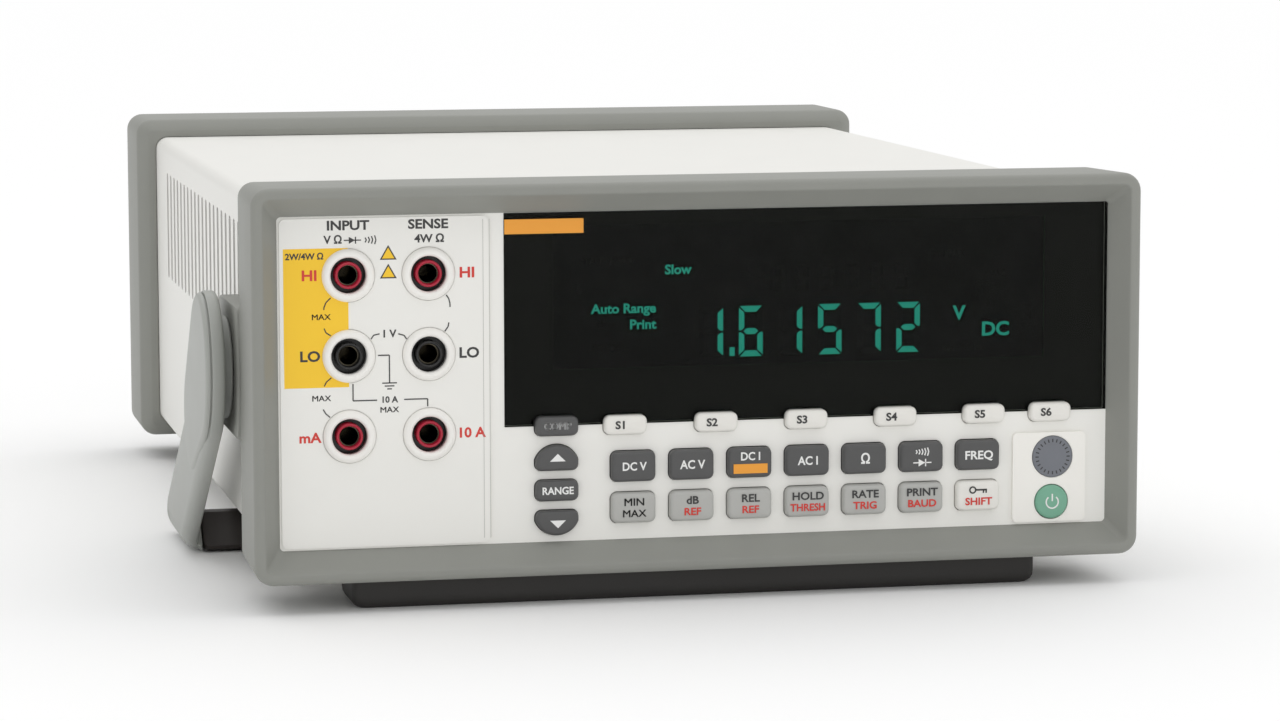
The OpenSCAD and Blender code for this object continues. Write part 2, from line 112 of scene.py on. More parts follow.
def surface(name, color, rough=0.5, metallic=0.0, specular=0.5, grain=0.35, depth=0.012,
            mottle=0.05, patch=9.0, brushed=(1, 1, 1), glow=0.0, subsurface=0.0):
    """Procedural finish: a fine grain in the bump, and soft blotches in colour and roughness.

    grain and patch are the sizes of the two patterns in millimetres, depth is the grain's depth.
    brushed stretches the grain along one axis.
    """
    material = bpy.data.materials.new(name)
    material.use_nodes = True
    tree = material.node_tree
    shader = tree.nodes["Principled BSDF"]
    shader.inputs["Metallic"].default_value = metallic
    shader.inputs["Specular IOR Level"].default_value = specular
    if subsurface:
        shader.inputs["Subsurface Weight"].default_value = subsurface
        shader.inputs["Subsurface Radius"].default_value = (1, 1, 1)
        shader.inputs["Subsurface Scale"].default_value = MM
    place = tree.nodes.new("ShaderNodeTexCoord").outputs["Object"]
    stretch = tree.nodes.new("ShaderNodeMapping")
    stretch.inputs["Scale"].default_value = brushed
    tree.links.new(place, stretch.inputs["Vector"])
    bump = tree.nodes.new("ShaderNodeBump")
    bump.inputs["Distance"].default_value = depth * MM
    bump.inputs["Strength"].default_value = 1
    tree.links.new(noise(tree, stretch.outputs["Vector"], grain), bump.inputs["Height"])
    tree.links.new(bump.outputs["Normal"], shader.inputs["Normal"])
    blotch = noise(tree, place, patch, detail=4)
    tint = color_mix(tree, blotch, shade(color, 1 - mottle), shade(color, 1 + mottle))
    tree.links.new(tint, shader.inputs["Base Color"])
    level = tree.nodes.new("ShaderNodeMapRange")
    level.inputs["To Min"].default_value = max(SMOOTHEST, rough - ROUGH_SPREAD)
    level.inputs["To Max"].default_value = min(1.0, rough + ROUGH_SPREAD)
    tree.links.new(blotch, level.inputs["Value"])
    tree.links.new(level.outputs["Result"], shader.inputs["Roughness"])
    if glow:
        tree.links.new(tint, shader.inputs["Emission Color"])
        shader.inputs["Emission Strength"].default_value = glow
    return material


def ink(name, color, rough=0.5, mottle=0.05):
    return surface(name, color, rough=rough, mottle=mottle, grain=0.2, depth=0.002)


def smoked_acrylic(name):
    """Dark window that lets part of the light through, with a polished front."""
    material = bpy.data.materials.new(name)
    material.use_nodes = True
    tree = material.node_tree
    tree.nodes.remove(tree.nodes["Principled BSDF"])
    place = tree.nodes.new("ShaderNodeTexCoord").outputs["Object"]
    haze = noise(tree, place, 25)
    clear = tree.nodes.new("ShaderNodeBsdfTransparent")
    tint = color_mix(tree, haze, (0.70, 0.72, 0.70, 1), (0.76, 0.78, 0.76, 1))
    tree.links.new(tint, clear.inputs["Color"])
    gloss = tree.nodes.new("ShaderNodeBsdfGlossy")
    gloss.inputs["Roughness"].default_value = 0.09
    gloss.inputs["Color"].default_value = (0.22, 0.22, 0.21, 1)
    edge = tree.nodes.new("ShaderNodeFresnel")
    edge.inputs["IOR"].default_value = 1.35
    mix = tree.nodes.new("ShaderNodeMixShader")
    tree.links.new(edge.outputs["Fac"], mix.inputs["Fac"])
    tree.links.new(clear.outputs["BSDF"], mix.inputs[1])
    tree.links.new(gloss.outputs["BSDF"], mix.inputs[2])
    tree.links.new(mix.outputs["Shader"], tree.nodes["Material Output"].inputs["Surface"])
    return material


def linear(r, g, b):
    """A screen colour, 0 to 255, as the linear values that shaders take."""
    def channel(v):
        v /= 255
        return v / 12.92 if v <= 0.04045 else ((v + 0.055) / 1.055) ** 2.4
    return (channel(r), channel(g), channel(b))


BEZEL = surface("bezel_grey", linear(144, 145, 139), rough=0.52, grain=0.5, depth=0.02, mottle=0.04)
ARM = surface("arm_grey", linear(166, 168, 163), rough=0.45, grain=0.45, depth=0.012, mottle=0.03)
GRIP = surface("grip_brown", linear(58, 52, 49), rough=0.55, grain=0.6, depth=0.03, mottle=0.08)
CASE = surface("case_paint", linear(238, 237, 232), rough=0.42, grain=0.6, depth=0.012, mottle=0.015)
REAR = surface("rear_paint", linear(222, 220, 214), rough=0.45, grain=0.6, depth=0.012, mottle=0.02)
PANEL = surface("panel_plastic", linear(244, 243, 238), rough=0.5, grain=0.35, depth=0.008, mottle=0.015)
FILM = surface("overlay_film", linear(243, 242, 237), rough=0.38, grain=0.25, depth=0.006, mottle=0.012)
SURROUND = surface("surround_plastic", linear(249, 247, 241), rough=0.45, grain=0.35, depth=0.008,
                   mottle=0.015)
WINDOW = smoked_acrylic("window_acrylic")
MASK = surface("window_mask", linear(21, 21, 17), specular=0.15, rough=0.35, grain=0.5, depth=0.004,
               mottle=0.06)
TUBE = surface("display_glass", linear(7, 7, 9), specular=0.1, rough=0.25, grain=0.6, depth=0.004,
               mottle=0.1)
SEGMENT_OFF = surface("segment_unlit", linear(20, 21, 21), specular=0.1, rough=0.5, grain=0.3,
                      depth=0.004)
SEGMENT_ON = surface("segment_lit", linear(28, 150, 130), rough=0.5, grain=0.3, depth=0.004, glow=1.0)
KEY_DARK = surface("key_dark", linear(84, 84, 84), rough=0.42, grain=0.3, depth=0.01, mottle=0.05)
KEY_LIGHT = surface("key_light", linear(184, 184, 180), rough=0.45, grain=0.3, depth=0.01, mottle=0.03)
KEY_PALE = surface("key_pale", linear(238, 236, 230), rough=0.45, grain=0.3, depth=0.01, mottle=0.02)
KEY_GREEN = surface("key_green", linear(122, 178, 152), rough=0.32, grain=0.3, depth=0.006,
                    subsurface=0.15)
SEAL = surface("seal_grey", linear(118, 121, 128), rough=0.4, grain=0.4, depth=0.008)
COLLAR = surface("collar_white", linear(247, 245, 240), rough=0.32, grain=0.3, depth=0.004, mottle=0.02)
RED = surface("insulator_red", linear(176, 28, 54), rough=0.25, grain=0.4, depth=0.004)
BLACK = surface("insulator_black", linear(28, 28, 28), rough=0.3, grain=0.4, depth=0.004)
# Contact metal in its own tone, darkened well below bare brass as painted shade for the deep jack bores; the
# ground terminal shares this darkened colour.
CONTACT = surface("contact_metal", linear(96, 90, 76), rough=0.25, metallic=1, grain=0.3,
                  depth=0.004, brushed=(1, 6, 1))
STEEL = surface("pin_steel", linear(170, 170, 172), rough=0.3, metallic=1, grain=0.25, depth=0.004)
TIN = surface("tin_plate", linear(180, 182, 185), rough=0.35, metallic=1, grain=0.5, depth=0.008)
BOARD = surface("circuit_board", linear(40, 105, 60), rough=0.3, grain=1.2, depth=0.03,
                mottle=0.15, patch=4)
WINDING = surface("copper_winding", linear(200, 150, 70), rough=0.35, metallic=0.4, grain=0.5,
                  depth=0.08, brushed=(1, 1, 8))
RUBBER = surface("foot_rubber", linear(50, 48, 46), rough=0.6, grain=0.5, depth=0.02, mottle=0.08)
MEMBRANE = surface("keypad_rubber", linear(120, 120, 124), rough=0.6, grain=0.4, depth=0.01)
NYLON = surface("black_nylon", linear(30, 30, 32), rough=0.4, grain=0.3, depth=0.008, mottle=0.08)
CERAMIC = surface("fuse_ceramic", linear(215, 212, 205), rough=0.4, grain=0.4, depth=0.006)
INK_DARK = ink("ink_dark", linear(58, 58, 58))
SEAM = ink("seam_shade", linear(190, 188, 184), rough=0.6)
INK_RED = ink("ink_red", linear(215, 62, 52))
INK_WHITE = ink("ink_white", linear(240, 240, 238))
INK_YELLOW = ink("ink_yellow", linear(255, 206, 44), rough=0.45, mottle=0.02)
INK_AMBER = ink("ink_amber", linear(245, 165, 55), rough=0.45, mottle=0.03)


# -------------------- mesh tools

ARC_STEPS = 8
CIRCLE_STEPS = 48
SHARP_DEGREES = 35
PRINT_THICKNESS = 0.04
# Height of a capital letter in the built-in type at size 1.
CAPITAL = 0.729
# Stands a text up, so that the front sees it.
UPRIGHT = Matrix(((1, 0, 0, 0), (0, 0, 1, 0), (0, 1, 0, 0), (0, 0, 0, 1)))


def place_in_scene(name, data):
    thing = bpy.data.objects.new(name, data)
    bpy.context.scene.collection.objects.link(thing)
    return thing


def plain_mesh(thing):
    """Copy of an object's mesh, with its modifiers or its text made into faces."""
    graph = bpy.context.evaluated_depsgraph_get()
    return bpy.data.meshes.new_from_object(thing.evaluated_get(graph), depsgraph=graph)


def polar(radius, degrees, centre=(0, 0)):
    angle = math.radians(degrees)
    return centre[0] + radius * math.cos(angle), centre[1] + radius * math.sin(angle)


def rounded_rect(width, height, corner, steps=ARC_STEPS):
    """Outline of a rounded rectangle about the origin, anticlockwise from its right side."""
    points = []
    for quarter, (sx, sy) in enumerate([(1, 1), (-1, 1), (-1, -1), (1, -1)]):
        centre = (sx * (width / 2 - corner), sy * (height / 2 - corner))
        points += fillet(centre, corner, 90 * quarter, 90 * quarter + 90, steps)
    return points


def circle(radius, steps=CIRCLE_STEPS):
    return [polar(radius, 360 * i / steps) for i in range(steps)]


def fillet(at, radius, start, end, steps=4):
    """Points of a rounded corner between two directions, given in degrees about a centre."""
    return [polar(radius, start + (end - start) * i / steps, at) for i in range(steps + 1)]


def shifted(points, dx, dz):
    return [(x + dx, z + dz) for x, z in points]


class Shape:
    """Gathers faces for one piece. Materials are listed once, and faces name theirs by number."""

    def __init__(self, name, *materials):
        self.name = name
        self.mesh = bmesh.new()
        self.materials = list(materials)

    def bridge(self, first, second, number):
        for i in range(len(first)):
            self.cap((first[i - 1], first[i], second[i], second[i - 1]), number)

    def cap(self, ring, number):
        self.mesh.faces.new(list(ring)).material_index = number

    def loft(self, outlines, number=0, closed=False):
        """Skin through outlines. Closed joins the last to the first; otherwise both ends are capped."""
        rings = [[self.mesh.verts.new(p) for p in outline] for outline in outlines]
        for a, b in zip(rings, rings[1:]):
            self.bridge(a, b, number)
        if closed:
            self.bridge(rings[-1], rings[0], number)
        else:
            self.cap(reversed(rings[0]), number)
            self.cap(rings[-1], number)

    def facing(self, profile, centre=(0, 0), **options):
        """Lofts outlines that stand in the XZ plane: profile is a list of (outline, y)."""
        self.loft([[spot(centre[0] + u, y, centre[1] + v) for u, v in outline]
                   for outline, y in profile], **options)

    def sideways(self, profile, **options):
        """Lofts outlines that stand in the YZ plane: profile is a list of (outline, x)."""
        self.loft([[spot(x, u, v) for u, v in outline] for outline, x in profile], **options)

    def upward(self, profile, centre=(0, 0), **options):
        """Lofts outlines that lie in the XY plane: profile is a list of (outline, z)."""
        self.loft([[spot(centre[0] + u, centre[1] + v, z) for u, v in outline]
                   for outline, z in profile], **options)

    def take(self, mesh, number=0):
        """Adds another mesh's faces."""
        before = len(self.mesh.faces)
        self.mesh.from_mesh(mesh)
        self.mesh.faces.ensure_lookup_table()
        for face in self.mesh.faces[before:]:
            face.material_index = number

    def finish(self, body, slot, replaces=(), sharp=SHARP_DEGREES):
        bmesh.ops.recalc_face_normals(self.mesh, faces=self.mesh.faces)
        data = bpy.data.meshes.new(self.name)
        self.mesh.to_mesh(data)
        self.mesh.free()
        for material in self.materials:
            data.materials.append(material)
        piece = place_in_scene(self.name, data)
        for polygon in data.polygons:
            polygon.use_smooth = True
        data.set_sharp_from_angle(angle=math.radians(sharp))
        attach(piece, body)
        if replaces:
            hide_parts(*replaces)
        return piece


def cut(piece, cutter_shape):
    """Takes a shape away from a piece, and leaves a plain mesh."""
    bmesh.ops.recalc_face_normals(cutter_shape.mesh, faces=cutter_shape.mesh.faces)
    data = bpy.data.meshes.new("cutter")
    cutter_shape.mesh.to_mesh(data)
    cutter_shape.mesh.free()
    cutter = place_in_scene("cutter", data)
    modifier = piece.modifiers.new("cut", "BOOLEAN")
    modifier.operation = "DIFFERENCE"
    modifier.solver = "EXACT"
    modifier.object = cutter
    result = plain_mesh(piece)
    piece.modifiers.clear()
    old = piece.data
    piece.data = result
    bpy.data.meshes.remove(old)
    bpy.data.objects.remove(cutter)
    bpy.data.meshes.remove(data)
    result.set_sharp_from_angle(angle=math.radians(SHARP_DEGREES))


def flat_text(text, weight, align):
    """Mesh of a text of size 1, lying flat about its middle; weight widens its strokes."""
    curve = bpy.data.curves.new("lettering", "FONT")
    curve.body = text
    curve.align_x = align
    curve.align_y = "CENTER"
    curve.offset = weight
    curve.resolution_u = 3
    holder = place_in_scene("lettering", curve)
    mesh = plain_mesh(holder)
    bpy.data.objects.remove(holder)
    bpy.data.curves.remove(curve)
    return mesh


def lettering(shape, text, x, y, z, height, number=0, stretch=0.85, weight=0.0, align="CENTER",
              thickness=PRINT_THICKNESS):
    """Raised print: x and z are the middle of the text, height is a capital letter's height.

    A widened M fills itself in, so a text with one is made heavier by a second print beside the first.
    """
    if weight and "M" in text:
        apart = 0.6 * weight * height / CAPITAL
        for side in (1, -1):
            lettering(shape, text, x + side * apart, y, z, height, number, stretch, 0, align, thickness)
        return
    mesh = flat_text(text, weight, align)
    scale = height / CAPITAL
    size = Matrix.Diagonal((scale * stretch * MM, MM, scale * MM, 1))
    mesh.transform(Matrix.Translation(spot(x, y, z)) @ size @ UPRIGHT)
    part = bmesh.new()
    part.from_mesh(mesh)
    solid = bmesh.ops.extrude_face_region(part, geom=part.faces[:])
    moved = [v for v in solid["geom"] if isinstance(v, bmesh.types.BMVert)]
    bmesh.ops.translate(part, verts=moved, vec=Vector((0, -thickness * MM, 0)))
    bmesh.ops.recalc_face_normals(part, faces=part.faces)
    part.to_mesh(mesh)
    part.free()
    shape.take(mesh, number)
    bpy.data.meshes.remove(mesh)


def stroke(shape, points, y, width, number=0, thickness=PRINT_THICKNESS):
    """Printed line through points (x, z)."""
    for (x0, z0), (x1, z1) in zip(points, points[1:]):
        along = Vector((x1 - x0, z1 - z0)).normalized()
        side = Vector((-along.y, along.x)) * width / 2
        corners = [(x0 + side.x, z0 + side.y), (x0 - side.x, z0 - side.y),
                   (x1 - side.x, z1 - side.y), (x1 + side.x, z1 + side.y)]
        patch_of(shape, corners, y, number, thickness)


def patch_of(shape, corners, y, number=0, thickness=PRINT_THICKNESS):
    """Printed area with the given outline of (x, z) points."""
    shape.facing([(corners, y), (corners, y - thickness)], number=number)


# -------------------- bezels and case

WIDTH = 2 * node_box("front_bezel")[1].x
HEIGHT = node_box("front_bezel")[1].z
DEPTH = node_box("rear_bezel")[1].y
BEZEL_CORNER = 4.5
RIM = 2.3
FRONT_DEPTH = 31
REAR_DEPTH = 32
REAR_RECESS = 6.45
sleeve_low, sleeve_high = node_box("case_sleeve")
SLEEVE_W = sleeve_high.x - sleeve_low.x
SLEEVE_H = sleeve_high.z - sleeve_low.z
SLEEVE_Z = (sleeve_low.z + sleeve_high.z) / 2
SLEEVE_CORNER = 3.3
SLEEVE_WALL = 1.2
SLEEVE_GAP = 0.15
PANEL_Y = node_box("front_panel")[0].y
OPEN_W = 203.6
OPEN_H = 78.9
OPEN_Z = 7.4 + OPEN_H / 2
BOSS_LENGTH = 36
BOSS_Z = (30.5, 62.5)
BOSS_CORNER = 3
PIVOT = from_row(next(j for j in frame["joints"] if j["name"] == "handle_swing")["pos_m"])
PIN_HOLE_R = 5.05
VENTS = 23
VENT_FIRST = FRONT_DEPTH + 10.6
VENT_PITCH = 8.7
VENT_W = 3.7
VENT_H = 30
VENT_BOTTOM = 50
HATCH_GAP = 0.2


def outer(inset, y):
    """The bezel's outside, drawn in by inset."""
    corner = max(BEZEL_CORNER - inset, 0.5)
    return shifted(rounded_rect(WIDTH - 2 * inset, HEIGHT - 2 * inset, corner), 0, HEIGHT / 2), y


def around_sleeve(gap, y):
    outline = rounded_rect(SLEEVE_W + 2 * gap, SLEEVE_H + 2 * gap, SLEEVE_CORNER + gap)
    return shifted(outline, 0, SLEEVE_Z), y


def around_opening(gap, y, corner=1.0, middle=OPEN_Z):
    return shifted(rounded_rect(OPEN_W + 2 * gap, OPEN_H + 2 * gap, corner), 0, middle), y


def make_front_bezel():
    shape = Shape("front_bezel_skin", BEZEL)
    edge = 1.5
    profile = [around_sleeve(SLEEVE_GAP, FRONT_DEPTH), outer(edge, FRONT_DEPTH)]
    profile += [outer(edge - u, y) for u, y in fillet((0, FRONT_DEPTH - 0.8), 0.8, 90, 0)]
    profile += [outer(edge - u, y) for u, y in fillet((0, edge), edge, 0, -90, 6)]
    profile += [outer(RIM, 0), outer(RIM + 0.35, 0.12), outer(RIM + 0.6, 0.45)]
    profile += [around_opening(0.5, PANEL_Y - 0.7, 1.6), around_opening(0.12, PANEL_Y - 0.25, 1.3),
                around_opening(0, PANEL_Y - 0.02), around_sleeve(SLEEVE_GAP, PANEL_Y - 0.02)]
    shape.facing(profile, closed=True)
    inner_x = SLEEVE_W / 2 + 0.25
    outer_x = WIDTH / 2
    middle = (FRONT_DEPTH + BOSS_LENGTH / 2, (BOSS_Z[0] + BOSS_Z[1]) / 2)

    def boss(inset):
        height = BOSS_Z[1] - BOSS_Z[0] - 2 * inset
        return shifted(rounded_rect(BOSS_LENGTH - 2 * inset, height, BOSS_CORNER - inset), *middle)

    bores = Shape("bores")
    bore = shifted(circle(PIN_HOLE_R), PIVOT.y, PIVOT.z)
    for side in (1, -1):
        shape.sideways([(boss(0), side * inner_x), (boss(0), side * (outer_x - 0.8)),
                        (boss(0.15), side * (outer_x - 0.25)), (boss(0.6), side * outer_x)])
        bores.sideways([(bore, side * (inner_x - 1)), (bore, side * (outer_x + 1))])
    cut(shape.finish("case", "bezel_grey", ["front_bezel"]), bores)


def make_rear_bezel():
    shape = Shape("rear_bezel_skin", BEZEL)
    front = DEPTH - REAR_DEPTH
    edge = 1.6
    profile = [around_sleeve(SLEEVE_GAP, front), outer(3.4, front), outer(3.1, front + 0.05)]
    profile += [outer(0.5, front + 2.2), outer(0.1, front + 2.9), outer(0, front + 3.6)]
    profile += [outer(edge - u, y) for u, y in fillet((0, DEPTH - edge), edge, 0, 90, 6)]
    profile += [outer(4.6, DEPTH), outer(5.2, DEPTH - 0.3)]
    profile += [around_opening(0.3, DEPTH - 1.2, 2.4, SLEEVE_Z),
                around_opening(0, DEPTH - REAR_RECESS, 2, SLEEVE_Z),
                around_sleeve(SLEEVE_GAP, DEPTH - REAR_RECESS)]
    shape.facing(profile, closed=True)
    shape.finish("case", "bezel_grey", ["rear_bezel"])


def make_sleeve():
    shape = Shape("case_sleeve_skin", CASE)
    y0, y1 = sleeve_low.y, sleeve_high.y
    shape.facing([around_sleeve(-0.01, y0), around_sleeve(-0.01, y1), around_sleeve(-SLEEVE_WALL, y1),
                  around_sleeve(-SLEEVE_WALL, y0)], closed=True)
    piece = shape.finish("case", "case_paint", ["case_sleeve"])
    slots = Shape("slots")
    for i in range(VENTS):
        middle = (VENT_FIRST + i * VENT_PITCH + VENT_W / 2, VENT_BOTTOM + VENT_H / 2)
        outline = shifted(rounded_rect(VENT_W, VENT_H, 1.2, steps=3), *middle)
        for side in (1, -1):
            slots.sideways([(outline, side * (SLEEVE_W / 2 - 4)), (outline, side * (SLEEVE_W / 2 + 2))])
    cut(piece, slots)
    hatch = Shape("hatch")
    low, high = node_box("fuse_cover")
    x0, x1 = low.x - HATCH_GAP, high.x + HATCH_GAP
    y0, y1 = low.y - HATCH_GAP, high.y + HATCH_GAP
    opening = [(x0, y0), (x1, y0), (x1, y1), (x0, y1)]
    hatch.upward([(opening, low.z - 1), (opening, high.z + 0.5)])
    cut(piece, hatch)


# -------------------- handle

# The arm hangs from a pod: two circles, one round the pivot and one POD_REACH from it. NECK is the arm's
# upper circle, as y, z and radius, and its heel holds the grip.
HUB_R = 18.7
HUB_DISC_R = 12.5
ARM_INNER = 111.2
ARM_OUTER = node_box("handle_arm_right")[1].x
ARM_ROUND = 6
GRIP_END = 109.7
GRIP_Z = node_box("handle_grip")[0].z
GRIP_TOP = 2.8
GRIP_REACH = 70.85
HEEL_BACK = 131
HEEL_FRONT = 103
NECK = (44.3, 40.9, 11.9)
POD_REACH = (19.2, -14.4)
POD_R = 14
RUN_STEPS = 14


def between(first, second, t):
    return first[0] + (second[0] - first[0]) * t, first[1] + (second[1] - first[1]) * t


def wrap(circles, steps=12):
    """Outline that runs round circles, each (y, z, radius), listed clockwise; points go anticlockwise."""
    count = len(circles)
    outline = []
    for i in range(count):
        here, after, before = circles[i], circles[(i + 1) % count], circles[i - 1]

        def normal(a, b):
            step = Vector((b[0] - a[0], b[1] - a[1]))
            return math.atan2(step.y, step.x) + math.acos((a[2] - b[2]) / step.length)

        start, end = normal(before, here), normal(here, after)
        while end > start:
            end -= 2 * math.pi
        for step in range(steps + 1):
            angle = start + (end - start) * step / steps
            outline.append((here[0] + here[2] * math.cos(angle), here[1] + here[2] * math.sin(angle)))
        leave = outline[-1]
        arrive = (after[0] + after[2] * math.cos(end), after[1] + after[2] * math.sin(end))
        outline += [between(leave, arrive, step / RUN_STEPS) for step in range(1, RUN_STEPS)]
    return outline[::-1]


def arm_outline(inset):
    return wrap([(NECK[0], NECK[1], NECK[2] - inset), (HEEL_BACK - 6, GRIP_Z + 6, 6 - inset),
                 (HEEL_FRONT - 2.5, GRIP_Z + 3.5, 3.5 - inset)])


def hub_outline(inset):
    return shifted(circle(HUB_DISC_R - inset), PIVOT.y, PIVOT.z)


def pod_outline(inset):
    return wrap([(PIVOT.y, PIVOT.z, HUB_R - inset),
                 (PIVOT.y + POD_REACH[0], PIVOT.z + POD_REACH[1], POD_R - inset)], steps=24)


def grip_outline(inset):
    """Flat underside, a front face curved about the pivot, rounded edges."""
    low = GRIP_Z + inset
    high = GRIP_TOP - inset
    back = HEEL_BACK - 8 - inset
    front = [(PIVOT.y + math.sqrt((GRIP_REACH + inset) ** 2 - (PIVOT.z - z) ** 2), z)
             for z in (low + 1.4, low + 3.2, low + 5, high - 1.8)]
    corner_low = (front[0][0] + 1.2, low)
    corner_high = (front[-1][0] + 2.2, high - 0.1)
    top = []
    for t in (0.25, 0.5, 0.75, 1):
        bulge = 0.5 * math.sin(math.pi * t)
        top.append((corner_high[0] + (back - 3 - corner_high[0]) * t, high - 0.1 - 4.1 * t + bulge))
    heel = [(back - 0.7, top[-1][1] - 0.9), (back, top[-1][1] - 2.2), (back, low + 1.6),
            (back - 0.5, low + 0.5), (back - 1.6, low)]
    under = [between(heel[-1], corner_low, t) for t in (0.33, 0.66)]
    lead = [corner_low, (front[0][0] + 0.35, low + 0.4)]
    points = lead + front + [(front[-1][0] + 0.7, high - 0.6), corner_high] + top + heel + under
    return points[::-1]


def arm_shape(side, node):
    """Arm, pod, hub disc and the corner that holds the grip, each from its outline and (inset, x) steps."""
    plate = ARM_OUTER - 0.5
    groove = ARM_OUTER - 1.5
    layers = (
        (arm_outline, ((1.0, ARM_INNER), (0.35, ARM_INNER + 0.3), (0, ARM_INNER + 1.0), (0, plate - 1.9),
                       (0.3, plate - 1.15), (0.9, plate - 0.5), (1.9, plate - 0.1), (2.8, plate))),
        (pod_outline, ((1.0, ARM_INNER), (0.35, ARM_INNER + 0.3), (0, ARM_INNER + 0.9), (0, groove - 0.5),
                       (0.2, groove - 0.12), (0.9, groove), (0.9, groove + 0.3), (0.45, groove + 0.38),
                       (0.5, ARM_OUTER - 0.75), (0.8, ARM_OUTER - 0.35), (1.4, ARM_OUTER - 0.08),
                       (2.2, ARM_OUTER))),
        (hub_outline, ((0.4, 108.72), (0, 109.1), (0, ARM_INNER + 0.1))),
        (grip_outline, ((0.9, GRIP_END + 0.02), (0.25, GRIP_END + 0.2), (0, GRIP_END + 0.7),
                        (0, ARM_INNER + 0.4), (0.5, ARM_INNER + 0.8))))
    shape = Shape(node + "_skin", ARM)
    for outline, steps in layers:
        shape.sideways([(outline(inset), side * x) for inset, x in steps])
    return shape


def round_lower_edge(shape, side):
    """Rounds the arm's outer face over towards its lower edge."""
    for vert in shape.mesh.verts:
        x = abs(vert.co.x) / MM
        over = GRIP_Z + ARM_ROUND - (vert.co.z / MM - BOTTOM)
        if over > 0 and x > ARM_OUTER - ARM_ROUND:
            limit = ARM_OUTER - ARM_ROUND + math.sqrt(max(0, ARM_ROUND ** 2 - over ** 2))
            share = (x - GRIP_END) / (ARM_OUTER - GRIP_END)
            vert.co.x = side * min(x, GRIP_END + max(0.2, limit - GRIP_END) * share) * MM


def make_handle():
    for side, node in ((1, "handle_arm_right"), (-1, "handle_arm_left")):
        shape = arm_shape(side, node)
        round_lower_edge(shape, side)
        shape.finish("handle", "arm_grey", [node])
    shape = Shape("handle_grip_skin", GRIP)
    ends = ((1.0, GRIP_END - 0.1), (0.3, GRIP_END - 0.4), (0, GRIP_END - 1.1))
    half = ends[-1][1]
    stations = 12
    profile = [(grip_outline(inset), -x) for inset, x in ends]
    profile += [(grip_outline(0.25 * math.sin(math.pi * i / stations)), -half + 2 * half * i / stations)
                for i in range(1, stations)]
    profile += [(grip_outline(inset), x) for inset, x in reversed(ends)]
    shape.sideways(profile)
    shape.finish("handle", "grip_brown", ["handle_grip"])


# -------------------- keys

KEY_FRONT = node_box("key_range")[0].y
FLANGE_BACK = node_box("key_range")[1].y
FLANGE_WIDTH = 0.6
KEY_CORNER = 1.5
KEY_EDGE = 0.85
KEY_DOME = 0.22
ARCH_RADIUS = 5.6
PRINT_Y = KEY_FRONT + 0.06
KEY_PRINT = 0.05
WHITE, DARK, RED_INK, AMBER = 1, 2, 3, 4


def key_outline(width, height, arch, inset, count=64):
    """Key cap seen from the front; arch is 1 or -1 where the top or bottom is an arc, and 0 elsewhere."""
    half_w, half_h = width / 2 - inset, height / 2 - inset
    corner = max(KEY_CORNER - inset, 0.15)
    radius = ARCH_RADIUS - inset
    middle = arch * (height / 2 - ARCH_RADIUS)
    points = []
    for i in range(count):
        angle = 2 * math.pi * i / count
        dx, dz = math.cos(angle), math.sin(angle)
        reach = min(half_w / max(abs(dx), 1e-6), half_h / max(abs(dz), 1e-6))
        cx, cz = half_w - corner, half_h - corner
        if abs(dx) * reach > cx and abs(dz) * reach > cz:
            along = abs(dx) * cx + abs(dz) * cz
            reach = along + math.sqrt(max(0, along ** 2 - cx ** 2 - cz ** 2 + corner ** 2))
        if arch:
            along = dz * middle
            reach = min(reach, along + math.sqrt(along ** 2 - middle ** 2 + radius ** 2))
        points.append((dx * reach, dz * reach))
    return points


def key_cap(shape, centre, width, height, arch, front):
    def outline(inset):
        return key_outline(width, height, arch, inset)

    profile = [(outline(-0.55), FLANGE_BACK), (outline(-0.55), FLANGE_BACK - 0.9),
               (outline(0), FLANGE_BACK - 0.95), (outline(0), front + KEY_DOME + KEY_EDGE)]
    for angle in (25, 50, 75, 90):
        u = KEY_EDGE * (1 - math.cos(math.radians(angle)))
        y = front + KEY_DOME + KEY_EDGE * (1 - math.sin(math.radians(angle)))
        profile.append((outline(u), y))
    for factor in (0.8, 0.55, 0.3):
        ring = [(u * factor, v * factor) for u, v in outline(KEY_EDGE)]
        profile.append((ring, front + KEY_DOME * factor ** 2))
    shape.facing(profile, centre=centre)


def key_piece(node, material, slot, marks, arch=0):
    low, high = node_box(node)
    centre = face_middle(low, high)
    width, height = high.x - low.x - 2 * FLANGE_WIDTH, high.z - low.z - 2 * FLANGE_WIDTH
    shape = Shape(node + "_skin", material, INK_WHITE, INK_DARK, INK_RED, INK_AMBER)
    key_cap(shape, centre, width, height, arch, KEY_FRONT + 0.05)
    marks(shape, centre)
    shape.finish(node + "_cap", slot, [node])


def words(text, height, ink, dx=0.0, dz=0.0, stretch=0.92, weight=0.025):
    def draw(shape, centre):
        lettering(shape, text, centre[0] + dx, PRINT_Y, centre[1] + dz, height, ink, stretch, weight,
                  thickness=KEY_PRINT)
    return draw


def both(first, second):
    def draw(shape, centre):
        first(shape, centre)
        second(shape, centre)
    return draw


def arrow(sign):
    def draw(shape, centre):
        x, z = centre
        patch_of(shape, [(x - 1.9, z - sign * 0.75), (x + 1.9, z - sign * 0.75), (x, z + sign * 1.1)],
                 PRINT_Y, WHITE, KEY_PRINT)
    return draw


def amber_bar(shape, centre):
    x, z = centre
    patch_of(shape, [(x - 4.2, z - 2.5), (x + 4.2, z - 2.5), (x + 4.2, z - 0.2), (x - 4.2, z - 0.2)],
             PRINT_Y, AMBER, KEY_PRINT)


def continuity(shape, centre):
    x, z = centre
    for i in range(5):
        half = 0.45 + 0.14 * i
        bow = x - 1.6 + i * 0.72
        stroke(shape, [(bow, z + 1.35 - half), (bow + 0.3, z + 1.35), (bow, z + 1.35 + half)],
               PRINT_Y, 0.3, WHITE, KEY_PRINT)
    diode(shape, x, z - 1.3, 0.95, PRINT_Y, WHITE)


